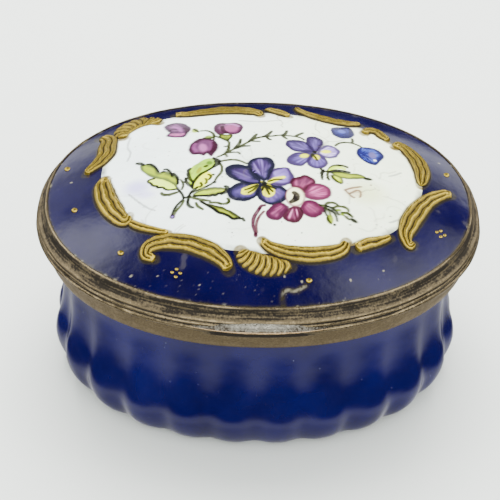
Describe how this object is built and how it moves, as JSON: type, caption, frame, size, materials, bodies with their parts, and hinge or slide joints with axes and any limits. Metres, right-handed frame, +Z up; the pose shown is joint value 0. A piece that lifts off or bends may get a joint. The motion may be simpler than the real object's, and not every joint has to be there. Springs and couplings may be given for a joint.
{
  "type": "pill box",
  "caption": "Oval enamelled copper pill box with fluted blue base, gilt mounts and hinged domed lid with raised gilt scrolls round a white flower panel.",
  "frame": {"origin": "middle of the flat underside of the base", "axes": "+Z up, +X along the long way of the oval, thumb lip towards -Y, hinge towards +Y"},
  "size_m": [0.066, 0.0535, 0.0352],
  "materials": {
    "blue_enamel": "gloss",
    "white_panel": "gloss",
    "white_enamel": "gloss",
    "copper": "matte",
    "gilt_mount": "satin",
    "raised_gilding": "satin"
  },
  "bodies": {
    "base": {"base_blue_enamel": "blue_enamel", "base_copper_core": "copper", "base_white_lining": "white_enamel", "base_mount_band": "gilt_mount", "base_bearer_ring": "gilt_mount", "base_hinge_knuckles": "gilt_mount", "hinge_pin": "gilt_mount"},
    "lid": {"lid_blue_ground": "blue_enamel", "lid_white_panel": "white_panel", "lid_copper_core": "copper", "lid_white_lining": "white_enamel", "lid_mount_ring": "gilt_mount", "thumb_lip": "gilt_mount", "lid_hinge_knuckles": "gilt_mount", "gilt_dots": "raised_gilding", "scroll_left_lower": "raised_gilding", "scroll_left_foot": "raised_gilding", "scroll_left_upper": "raised_gilding", "scroll_upper_left": "raised_gilding", "scroll_top_left": "raised_gilding", "scroll_top_middle": "raised_gilding", "scroll_top_right": "raised_gilding", "scroll_right_knot": "raised_gilding", "scroll_right_upper": "raised_gilding", "scroll_right_lower": "raised_gilding", "scroll_front_right": "raised_gilding", "scroll_front_long": "raised_gilding", "scroll_front_shell": "raised_gilding", "scroll_front_left": "raised_gilding"}
  },
  "joints": [
    {"name": "lid_hinge", "type": "hinge", "parent": "base", "child": "lid", "pos_m": [0, 0.02585, 0.026], "axis": [-1, 0, 0], "range_deg": [0, 100]}
  ]
}
